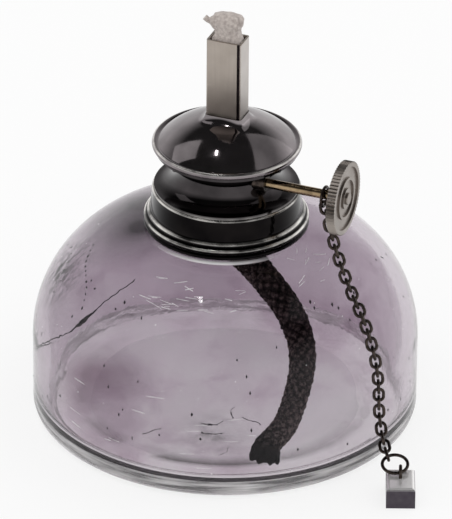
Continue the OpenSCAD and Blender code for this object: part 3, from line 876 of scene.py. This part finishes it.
def in_wall(azimuth, z, depth):
    """A place in the glass wall, by its angle in degrees and its height and depth in mm."""
    up = max(0, z * MM - SHOULDER_C[1])
    out = math.sqrt(SHOULDER_R ** 2 - up ** 2)
    r = SHOULDER_C[0] + out * (1 - depth * MM / SHOULDER_R)
    turn = math.radians(azimuth)
    return Vector((r * math.cos(turn), r * math.sin(turn), z * MM - up * depth * MM / SHOULDER_R))


def grain(middle, half, slim):
    """A small upright seed or bubble with slim ends."""
    along = Vector((0, 0, half))
    return tube([middle - along, middle, middle + along], [slim / 3, slim, slim / 3], MARK_SIDES)


def make_flaws():
    """The crack at the left, a row of seeds that meets it, and stray seeds in the wall."""
    chance = random.Random(FLAW_CHANCE)
    noise.seed_set(FLAW_CHANCE)
    path = []
    for point in smooth_route([in_wall(a, z, CRACK_DEPTH) for a, z in CRACK], MARK_STEP):
        path.append(point + CRACK_JAG * noise.noise_vector(point / CRACK_JAG_PATCH))
    middle = CRACK_WIDEST * len(path)
    widths = []
    for k, point in enumerate(path):
        swell = CRACK_SWELL * math.exp(-((k - middle) / CRACK_SWELL_STEPS) ** 2)
        widths.append(CRACK_WIDTH + CRACK_VARIES * abs(noise.noise(point / CRACK_PATCH)) + swell)
    parts = [tube(path, widths, MARK_SIDES)]
    row = smooth_route([in_wall(a, z, SEED_ROW_DEPTH) for a, z in SEED_ROW], SEED_ROW_STEP)
    seeds = row[1::2]
    for _ in range(STRAY_SEEDS):
        seeds.append(in_wall(chance.uniform(*STRAY_ANGLES), chance.uniform(*STRAY_HEIGHTS), STRAY_DEPTH))
    for seed in seeds:
        half = chance.uniform(*SEED_HALF) * MM
        slim = chance.uniform(*SEED_R) * MM
        parts.append(grain(seed, half, slim))
    flaws = mesh_object("glass_flaws", *joined(parts), sharp_angle=SOFT_ANGLE)
    flaws.data.materials.append(flaw_line())
    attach(flaws, "font")


def make_scratches():
    """Pale scratches and bubbles in the wall, and dark hairs on the font's floor."""
    chance = random.Random(SCRATCH_CHANCE)
    pale, dark = [], []
    for low, high, count in SCRATCHED:
        for _ in range(count):
            azimuth, z = (chance.uniform(a, b) for a, b in zip(low, high))
            turn, slope = chance.uniform(*SCRATCH_TURN), chance.uniform(*SCRATCH_SLOPE)
            way = [in_wall(azimuth + turn * t, z + turn * slope * t, 0) for t in (-0.5, -0.2, 0.2, 0.5)]
            slim = chance.uniform(*SCRATCH_R) * MM
            pale.append(tube(smooth_route(way, MARK_STEP), slim, MARK_SIDES))
    for _ in range(BUBBLES):
        spot = in_wall(chance.uniform(*BUBBLE_ANGLES), chance.uniform(*BUBBLE_HEIGHTS), 0)
        size = chance.uniform(*BUBBLE_R) * MM
        pale.append(grain(spot, size, size))
    for _ in range(FLOOR_HAIRS):
        turn, away = math.radians(chance.uniform(*HAIR_ANGLES)), chance.uniform(*HAIR_AWAY) * MM
        spot = Vector((away * math.cos(turn), away * math.sin(turn), GLASS_FLOOR + HAIR_LIFT))
        bend = chance.uniform(0, math.tau)
        way = []
        for k in range(HAIR_POINTS):
            way.append(spot + k * HAIR_STEP * Vector((math.cos(bend), math.sin(bend), 0)))
            bend += chance.uniform(*HAIR_BEND)
        dark.append(tube(smooth_route(way, MARK_STEP), chance.uniform(*HAIR_R) * MM, MARK_SIDES))
    piles = (("glass_scratches", pale, pale_scratch()), ("floor_hairs", dark, flaw_line()))
    for name, parts, material in piles:
        marks = mesh_object(name, *joined(parts), sharp_angle=SOFT_ANGLE)
        marks.data.materials.append(material)
        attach(marks, "font")


# Burner shells

def collar_outline():
    outline = [(COLLAR_BORE_R, COLLAR_Z)]
    outline += arc(*COLLAR_ROLL, -90, 60, 10)
    outline += arc(*LOWER_BEAD, -40, 70, 12)
    outline += arc(*UPPER_BEAD, -35, 60, 12)
    outline += arc(*BEAD_HOLLOW, 230, 170, 4)
    outline += line(*BAND, 6)
    outline += arc(*BAND_TOP, 0, 90, 8)
    outline += [(ROOF_HOLE_R, SPOOL_Z), (ROOF_HOLE_R, ROOF_Z), (COLLAR_BORE_R, ROOF_Z)]
    return outline


def spool_outline():
    outline = [(SPOOL_FOOT_R, SPOOL_Z), (SPOOL_FOOT_R, SPOOL_Z + SHEET)]
    outline += arc(GROOVE_C, GROOVE_R, 270, 90, 36)
    outline += [(SPOOL_TOP_R, DOME_Z - SHEET), (SPOOL_TOP_R, DOME_Z)]
    outline += arc(GROOVE_C, GROOVE_R + SHEET, 90, 270, 36)
    return outline


def dome_outline():
    rise = DOME_TOP - RIM_C[1]
    ball_r = (RIM_C[0] ** 2 + rise ** 2) / (2 * rise)
    centre = (0, DOME_TOP - ball_r)
    low = math.degrees(math.asin((RIM_C[1] + RIM_LAP - centre[1]) / ball_r))
    steep = math.acos(FLARE_FOOT_R / ball_r)
    high = math.degrees(steep)
    foot_z = centre[1] + ball_r * math.sin(steep)
    flare_c = (FLARE_FOOT_R + FLARE_R * math.cos(steep), foot_z + FLARE_R * math.sin(steep))
    top_z = flare_c[1] + FLARE_R * math.sin(math.radians(FLARE_END))
    inner_r = FLARE_TOP_R - FLARE_GAP / 2
    outline = arc(RIM_C, RIM_R, -120, 80, 16)
    outline += arc(centre, ball_r, low, high, 24)
    outline += arc(flare_c, FLARE_R, high - 180, FLARE_END, 12)[1:]
    outline += [(inner_r, top_z), (inner_r, DOME_TOP - 2 * SHEET)]
    outline += arc(centre, ball_r - SHEET, high, low + 1, 24)
    return outline


def round_the_tube(r, z, turn):
    """Draws the dome's top in, from its round foot to an edge that follows the wick tube."""
    wide, deep = TUBE_W / 2 + FLARE_GAP, TUBE_D / 2 + FLARE_GAP
    x, y = abs(math.cos(turn) / wide), abs(math.sin(turn) / deep)
    edge = (x ** FLARE_SQUARE + y ** FLARE_SQUARE) ** (-1 / FLARE_SQUARE)
    share = clamp((FLARE_FOOT_R - r) / (FLARE_FOOT_R - FLARE_TOP_R))
    return r + share * (edge - FLARE_TOP_R), z


def make_burner():
    """The turned shells of collar, spool and dome, with their worn edges marked, which also carry painted
    highlight lines.
    """
    # One plating in three copies: painted near black on the collar, dark on the spool and grey on the dome,
    # as painted shade and reflection for each part
    deep = black_nickel("shaded_collar_nickel", dark=(0.004, 0.0035, 0.004), light=(0.011, 0.0095, 0.0095))
    half = black_nickel("half_shaded_spool_nickel", dark=(0.030, 0.027, 0.028), light=(0.065, 0.058, 0.060))
    lit_dome_nickel = black_nickel("black_nickel", dark=(0.17, 0.152, 0.157), light=(0.28, 0.252, 0.259))
    shells = (
        ("collar_shell", collar_outline(), None, deep, "screw_collar"),
        ("spool_shell", spool_outline(), None, half, "burner_spool"),
        ("dome_shell", dome_outline(), round_the_tube, lit_dome_nickel, "burner_dome"),
    )
    for name, outline, shape, metal, node in shells:
        points, faces, _ = lathe(outline, shape)
        shell = mesh_object(name, points, faces)
        wear_highlight = []
        for vertex in shell.data.vertices:
            place = (math.hypot(vertex.co.x, vertex.co.y), vertex.co.z)
            near = min(math.dist(place, edge) for edge in WEAR_HIGHLIGHT_EDGES)
            wear_highlight.append(clamp(WEAR_HIGHLIGHT_FULL - near / WEAR_HIGHLIGHT_FADE))
        shell.data.attributes.new(WEAR_HIGHLIGHT, "FLOAT", "POINT").data.foreach_set("value", wear_highlight)
        shell.data.materials.append(metal)
        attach(shell, "burner")
        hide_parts(node)


# Wick tube of folded sheet

def tube_section():
    """Outside of the tube's section, with the open seam at its front right corner."""
    w, d, r = TUBE_W / 2, TUBE_D / 2, TUBE_BEND
    section = []
    for x, y, start in ((1, 1, 0), (-1, 1, 90), (-1, -1, 180)):
        section += arc((x * (w - r), y * (d - r)), r, start, start + 90, 6)
    seam = w - SEAM_BEND - SEAM_SLIT
    section += [(seam, -d), (seam, -d + SEAM_STEP), (seam + SEAM_SLIT, -d + SEAM_STEP)]
    section += arc((w - SEAM_BEND, -d + SEAM_BEND), SEAM_BEND, 270, 360, 6)
    return section


def make_tube():
    """The wick tube, open at both ends, with painted shade in its seam."""
    outside = tube_section()
    inner_w, inner_d = TUBE_W / 2 - TUBE_WALL, TUBE_D / 2 - TUBE_WALL
    inside = [
        (min(inner_w, max(-inner_w, x)), min(inner_d, max(-inner_d, y))) for x, y in outside
    ]
    rings = [
        [(x, y, TUBE_BOTTOM) for x, y in outside],
        [(x, y, TUBE_TOP) for x, y in outside],
        [(x, y, TUBE_TOP) for x, y in inside],
        [(x, y, TUBE_BOTTOM) for x, y in inside],
    ]
    rings.append(rings[0])
    shell = mesh_object("wick_tube_folded", *loft(rings, closed_ends=False))
    weld = bmesh.new()
    weld.from_mesh(shell.data)
    bmesh.ops.remove_doubles(weld, verts=weld.verts, dist=TINY)
    bmesh.ops.recalc_face_normals(weld, faces=weld.faces)
    weld.to_mesh(shell.data)
    weld.free()
    # Its face towards +X is painted lighter as if lit
    nickel = satin_nickel(
        "tube_nickel", light=(0.57, 0.50, 0.445), dark=(0.39, 0.345, 0.305), stretch=(1, 1, 0.03),
        rough=(0.40, 0.55), side=(0.62, 0.585, 0.56),
    )
    # The slit of the seam is painted dark as shade
    shade_and_dirt = worn_metal("seam_shade", light=(0.05, 0.035, 0.04), dark=(0.015, 0.012, 0.013), rough=(0.5, 0.7))
    for material in (nickel, shade_and_dirt):
        shell.data.materials.append(material)
    edge = TUBE_W / 2 - SEAM_BEND
    for polygon in shell.data.polygons:
        behind = polygon.center.y + TUBE_D / 2
        in_width = edge - SEAM_SLIT - SEAM_SLACK < polygon.center.x < edge + SEAM_SLACK
        in_depth = SEAM_SLACK < behind < SEAM_STEP + SEAM_SLACK
        upright = abs(polygon.normal.z) < 0.5
        if upright and in_width and in_depth:
            polygon.material_index = 1
    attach(shell, "burner")
    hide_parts("wick_tube")


# Wick

def wick_ring(z, wide, deep, rough):
    """A ring round the wick, close to a rectangle, roughened by noise."""
    ring = []
    for k in range(WICK_SIDES):
        turn = math.tau * k / WICK_SIDES
        c, s = math.cos(turn), math.sin(turn)
        x = wide / 2 * math.copysign(abs(c) ** WICK_SQUARE, c)
        y = deep / 2 * math.copysign(abs(s) ** WICK_SQUARE, s)
        push = 1 + rough * noise.noise(Vector((x, y, z)) / WICK_PATCH)
        ring.append((x * push, y * push, z))
    return ring


def make_wick():
    """The flat wick in its tube, with a frayed tuft and a loose strand."""
    in_tube, lift = TUBE_TOP - WICK_BOTTOM, TUFT_TOP - TUBE_TOP
    rings = []
    for k in range(WICK_RINGS):
        rings.append(wick_ring(WICK_BOTTOM + k * in_tube / WICK_RINGS, WICK_W, WICK_D, WICK_ROUGH))
    for share, wide, deep, rough in TUFT:
        rings.append(wick_ring(TUBE_TOP + share * lift, WICK_W * wide, WICK_D * deep, rough))
    curl = smooth_route([(x * MM, y * MM, TUBE_TOP + z * MM) for x, y, z in CURL], CURL_STEP)
    parts = [loft(rings), tube(curl, CURL_R, CURL_SIDES)]
    wick = mesh_object("wick_cotton", *joined(parts), sharp_angle=SOFT_ANGLE)
    wick.data.materials.append(pale_cotton())
    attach(wick, "wick")
    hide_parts("wick")


def make_tail():
    """A plain braid of eight strands each way round a core, along the wick's route."""
    inside_r, height = BODY_R - GLASS_WALL, TAIL_TOP - GLASS_FLOOR
    route = [(x * inside_r, y * inside_r, GLASS_FLOOR + z * height) for x, y, z in TAIL_SHARES]
    path = smooth_route(route, TAIL_STEP)
    crosses = frames_along(path)
    places = np.concatenate([[0], np.cumsum([(b - a).length for a, b in zip(path, path[1:])])])
    shares = places / places[-1]
    slim = np.interp(shares, *zip(*TAIL_SLIM))
    parts = [tube(path, [float(size) * CORE_R for size in slim], CORE_SIDES)]
    for way in (1, -1):
        for strand in range(STRANDS):
            centres, outs = [], []
            for point, (side, up), s, size in zip(path, crosses, places, slim):
                turn = way * math.tau * s / LAY + math.tau * strand / STRANDS
                out = math.cos(turn) * side + math.sin(turn) * up
                rise = way * WEAVE * math.cos(STRANDS * math.tau * s / LAY)
                centres.append(point + (BRAID_R * float(size) + rise) * out)
                outs.append(out)
            parts.append(tube(centres, STRAND_R, STRAND_SIDES, flat=STRAND_FLAT, facing=outs))
    tail = mesh_object("wick_tail_braid", *joined(parts), sharp_angle=SOFT_ANGLE)
    # Points further out on the braid are painted lighter and hollows darker, as light and shade; the soaked
    # end stays dark
    spots = np.array([v.co for v in tail.data.vertices])
    line_points = np.array(path)
    gaps = [((line_points - spot) ** 2).sum(axis=1) for spot in spots]
    nearest = [int(gap.argmin()) for gap in gaps]
    away = np.sqrt([gap.min() for gap in gaps])
    dry = np.interp(shares[nearest], *zip(*TAIL_DRY))
    ridge = np.clip((away / (TAIL_R * slim[nearest]) - RIDGE_SHADE_FROM) / (1 - RIDGE_SHADE_FROM), 0, 1) * dry
    tail.data.attributes.new(RIDGE_SHADE, "FLOAT", "POINT").data.foreach_set("value", ridge)
    tail.data.materials.append(braided_cotton())
    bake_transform(tail)
    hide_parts("wick_tail")


# Raiser shaft

def make_shaft():
    """A turned rod with its ends broken, in the place of the solid one."""
    low, high = (Vector(corner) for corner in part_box("raiser_shaft"))
    middle = (low + high) / 2
    radius = (high.z - low.z) / 2
    stops = [
        (low.x, radius - SHAFT_CUT), (low.x + SHAFT_CUT, radius),
        (high.x - SHAFT_CUT, radius), (high.x, radius - SHAFT_CUT),
    ]
    turns = [math.tau * k / SHAFT_SIDES for k in range(SHAFT_SIDES)]
    rings = []
    for x, r in stops:
        rings.append([(x, middle.y + r * math.cos(t), middle.z + r * math.sin(t)) for t in turns])
    shaft = mesh_object("shaft_rod", *loft(rings))
    shaft.data.materials.append(
        worn_metal("shaft_brass", light=(0.42, 0.31, 0.19), dark=(0.22, 0.16, 0.095), rough=(0.10, 0.2))
    )
    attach(shaft, "raiser")
    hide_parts("raiser_shaft")


# Pieces that keep their solids

def paint_solids():
    """Colours for the solids that show, steel where nothing else is chosen."""
    brass = worn_metal("brass", light=(0.55, 0.40, 0.18), dark=(0.38, 0.26, 0.11), rough=(0.2, 0.35))
    steel = worn_metal(
        "chain_steel", light=(0.085, 0.066, 0.056), dark=(0.03, 0.024, 0.022), rough=(0.22, 0.38), patch=0.8
    )
    clip = worn_metal("bright_steel", light=(0.6, 0.6, 0.6), dark=(0.4, 0.4, 0.4), rough=(0.2, 0.3))
    lit_cap = top_lit_nickel()
    knob = satin_nickel(
        "knob_nickel", light=(0.50, 0.455, 0.41), dark=(0.24, 0.21, 0.19), stretch=(1, 1, 1),
        rough=(0.30, 0.42),
    )
    fibre = pressed_fibre()
    chosen = {
        "collar_gasket": fibre, "tube_plate": brass, "shaft_bush": steel, "shaft_bearing": brass,
        "spur_wheels": brass, "shaft_clip": clip, "thumbwheel": knob,
        "thumbwheel_rivet": knob, "snuffer_cap": lit_cap,
    }
    for name, solid in nodes.items():
        if solid.hide_render:
            continue
        solid.data.materials.clear()
        solid.data.materials.append(chosen.get(name, steel))


# Studio

def make_camera():
    camera = bpy.data.objects.new("camera", bpy.data.cameras.new("camera"))
    bpy.context.scene.collection.objects.link(camera)
    bpy.context.scene.camera = camera
    azimuth, elevation = math.radians(CAMERA_AZIMUTH), math.radians(CAMERA_ELEVATION)
    right = Vector((math.cos(azimuth), math.sin(azimuth), 0))
    flat = math.cos(elevation)
    back = Vector((math.sin(azimuth) * flat, -math.cos(azimuth) * flat, math.sin(elevation)))
    up = back.cross(right)
    across = (FRAME_W / 2 - BASE_PIXEL[0]) / PIXELS_PER_MM * MM
    above = (BASE_PIXEL[1] - FRAME_H / 2) / PIXELS_PER_MM * MM
    target = right * across + up * above
    turn = Matrix((right, up, back)).transposed().to_4x4()
    camera.matrix_world = (
        Matrix.Translation(target + back * CAMERA_DISTANCE) @ turn
        @ Matrix.Rotation(math.radians(CAMERA_ROLL), 4, "Z")
    )
    camera.data.lens = camera.data.sensor_width * CAMERA_DISTANCE / (FRAME_H / PIXELS_PER_MM * MM)


def seen_directly(tree):
    """1 for rays that come from the eye, from a mirror or through glass, and otherwise 0."""
    path = tree.nodes.new("ShaderNodeLightPath")
    total = path.outputs["Is Camera Ray"]
    for key in ("Is Glossy Ray", "Is Transmission Ray"):
        add = tree.nodes.new("ShaderNodeMath")
        add.operation = "MAXIMUM"
        tree.links.new(total, add.inputs[0])
        tree.links.new(path.outputs[key], add.inputs[1])
        total = add.outputs["Value"]
    return total


def ceiling(tree):
    """White all round, but for mirrors the studio's ceiling is dim."""
    place = tree.nodes.new("ShaderNodeTexCoord")
    split = tree.nodes.new("ShaderNodeSeparateXYZ")
    tree.links.new(place.outputs["Generated"], split.inputs["Vector"])
    fade = tree.nodes.new("ShaderNodeMapRange")
    for key, value in zip(("From Min", "From Max", "To Min", "To Max"), CEILING):
        fade.inputs[key].default_value = value
    tree.links.new(split.outputs["Z"], fade.inputs["Value"])
    path = tree.nodes.new("ShaderNodeLightPath")
    choose = tree.nodes.new("ShaderNodeMix")
    choose.inputs["A"].default_value = 1.0
    tree.links.new(path.outputs["Is Glossy Ray"], choose.inputs["Factor"])
    tree.links.new(fade.outputs["Result"], choose.inputs["B"])
    return choose.outputs["Result"]


def mix_shaders(tree, share, first, second, output):
    """Shows the first shader, or by that share the second."""
    mix = tree.nodes.new("ShaderNodeMixShader")
    for source, socket in zip((share, first, second), mix.inputs):
        tree.links.new(source, socket)
    tree.links.new(mix.outputs["Shader"], tree.nodes[output].inputs["Surface"])


def make_world():
    world = bpy.data.worlds.new("studio")
    bpy.context.scene.world = world
    world.use_nodes = True
    tree = world.node_tree
    soft = tree.nodes["Background"]
    soft.inputs["Color"].default_value = (1, 1, 1, 1)
    soft.inputs["Strength"].default_value = WORLD_LIGHT
    white = tree.nodes.new("ShaderNodeBackground")
    white.inputs["Color"].default_value = (1, 1, 1, 1)
    tree.links.new(ceiling(tree), white.inputs["Strength"])
    soft_light, seen_white = soft.outputs["Background"], white.outputs["Background"]
    mix_shaders(tree, seen_directly(tree), soft_light, seen_white, "World Output")


def make_floor():
    corners = [(x * FLOOR_HALF, y * FLOOR_HALF, 0) for x, y in ((-1, -1), (1, -1), (1, 1), (-1, 1))]
    floor = mesh_object("floor", corners, [(0, 1, 2, 3)])
    floor.location.z = -FLOOR_DROP
    paint = Paint("floor", Base_Color=(FLOOR_GREY, FLOOR_GREY, FLOOR_GREY, 1), Roughness=0.9)
    white = paint.node("ShaderNodeEmission").outputs["Emission"]
    share = paint.maths("MULTIPLY", seen_directly(paint.tree), FLOOR_WHITE)
    mix_shaders(paint.tree, share, paint.shader.outputs["BSDF"], white, "Material Output")
    floor.data.materials.append(paint.material)


def make_lamp(name, azimuth, elevation, distance, size, power):
    """A soft box that faces the lamp, by its direction in degrees."""
    light = bpy.data.lights.new(name, "AREA")
    light.shape = "RECTANGLE"
    light.size, light.size_y = size
    light.energy = power
    thing = bpy.data.objects.new(name, light)
    bpy.context.scene.collection.objects.link(thing)
    a, e = math.radians(azimuth), math.radians(elevation)
    way = Vector((math.cos(a) * math.cos(e), math.sin(a) * math.cos(e), math.sin(e)))
    middle = Vector((0, 0, LAMP_AIM))
    thing.location = middle + way * distance
    thing.rotation_euler = way.to_track_quat("Z", "Y").to_euler()


make_camera()
make_world()
make_floor()
for lamp in LAMPS:
    make_lamp(*lamp)
make_font()
make_flaws()
make_scratches()
make_burner()
make_tube()
make_wick()
make_tail()
make_shaft()
paint_solids()

bpy.context.scene.view_settings.view_transform = "Standard"
bpy.context.view_layer.update()
